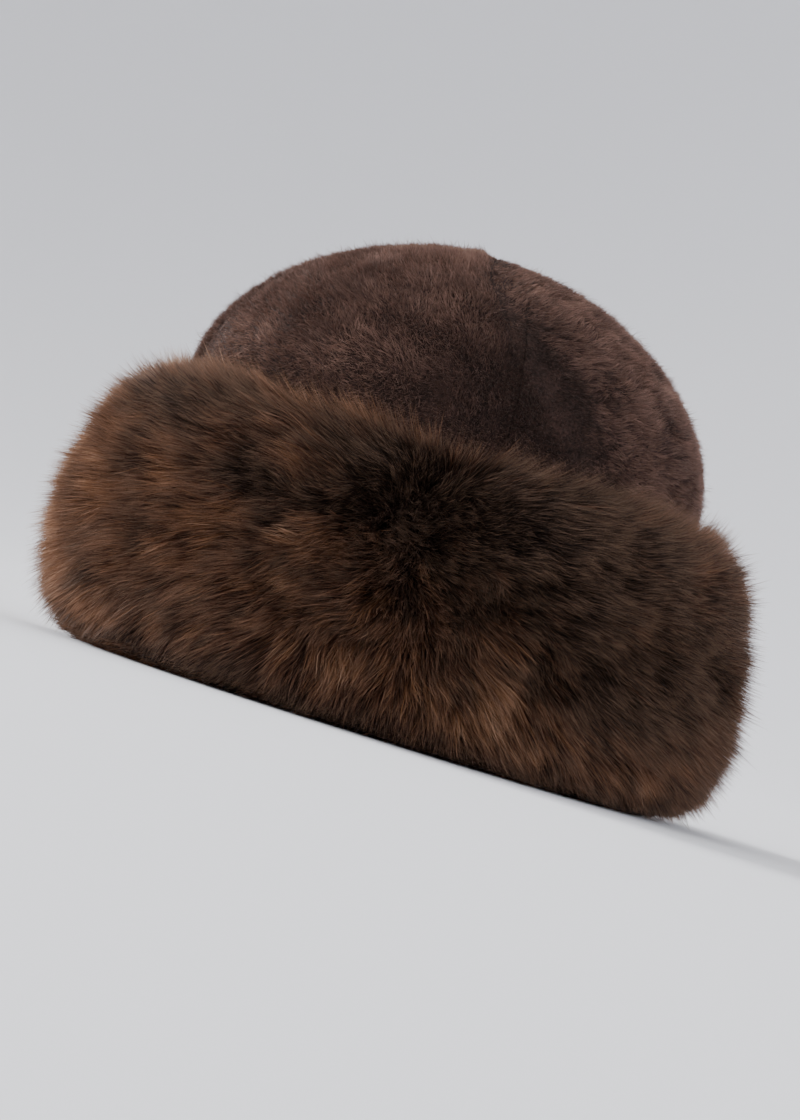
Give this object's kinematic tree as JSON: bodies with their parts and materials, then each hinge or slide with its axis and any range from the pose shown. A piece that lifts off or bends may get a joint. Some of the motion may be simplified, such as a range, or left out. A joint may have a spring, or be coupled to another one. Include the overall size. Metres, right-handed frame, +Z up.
{
  "type": "domed fur hat with a turned-up long-fur cuff, a telpek-like winter hat",
  "caption": "Round fur hat: a dome of short sheared brown fur with a deep turned-up cuff of long brown fur.",
  "frame": {"origin": "centre of the hat's outline on the plane that it rests on", "axes": "+Z up along the crown's axis, -Y the front that the picture shows, +X to the right in that view"},
  "size_m": [0.2891, 0.2893, 0.193],
  "materials": {
    "crown_fur": "short sheared fur, matt, finely mottled, brown hide inside",
    "cuff_fur": "long fur in locks, dark roots and warm brown tips"
  },
  "bodies": {
    "root": {"crown_gore_front_left": "crown_fur", "crown_gore_front_right": "crown_fur", "crown_gore_back_right": "crown_fur", "crown_gore_back_left": "crown_fur", "fur_cuff": "cuff_fur"}
  },
  "joints": []
}
